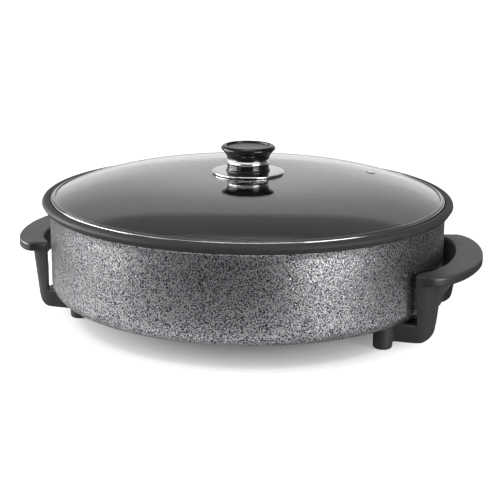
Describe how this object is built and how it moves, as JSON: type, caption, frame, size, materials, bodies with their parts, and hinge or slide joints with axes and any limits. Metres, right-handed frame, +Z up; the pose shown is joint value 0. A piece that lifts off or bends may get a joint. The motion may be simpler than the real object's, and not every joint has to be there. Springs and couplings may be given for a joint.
{
  "type": "electric pan",
  "caption": "Deep round electric pan in hammered grey with a black rolled lip, two black end handles that stand it on feet, and a lift-off glass dome lid with a black and chrome knob.",
  "frame": {"origin": "on the floor under the centre of the pan", "axes": "+X along the handles, toward the end with the electrical inlet; -Y toward the front; +Z up, out of the knob"},
  "size_m": [0.485, 0.42, 0.1771],
  "materials": {
    "hammered_coating": "hammered grey paint on the outside, black non-stick inside and on the lip",
    "element_sheath": "heat-darkened sheath",
    "steel": "bright",
    "satin_black": "satin phenolic",
    "gloss_black": "polished phenolic",
    "chrome": "mirror",
    "insert_grey": "satin disc",
    "lid_glass": "tempered, polished",
    "rubber": "matt silicone",
    "ceramic": "unglazed"
  },
  "bodies": {
    "pan": {"pan_body": "hammered_coating", "heating_element": "element_sheath", "probe_sleeve": "steel", "socket_guard": "satin_black", "terminal_pin_front": "steel", "terminal_insulator_front": "ceramic", "guard_screw_front": "steel", "terminal_pin_rear": "steel", "terminal_insulator_rear": "ceramic", "guard_screw_rear": "steel", "handle_right": "satin_black", "foot_screw_right_front": "steel", "foot_screw_right_rear": "steel", "handle_left": "satin_black", "foot_screw_left_front": "steel", "foot_screw_left_rear": "steel"},
    "lid": {"lid_glass": "lid_glass", "lid_rim": "steel", "steam_vent": "steel", "knob_gasket": "rubber", "knob_skirt": "chrome", "knob_base": "gloss_black", "knob_ring": "chrome", "knob_cap": "gloss_black", "knob_insert": "insert_grey", "inner_gasket": "rubber", "knob_washer": "steel", "knob_screw": "steel"}
  },
  "joints": [
    {"name": "lid_lift", "type": "slide", "parent": "pan", "child": "lid", "axis": [0, 0, 1], "range_m": [0, 0.15]}
  ]
}
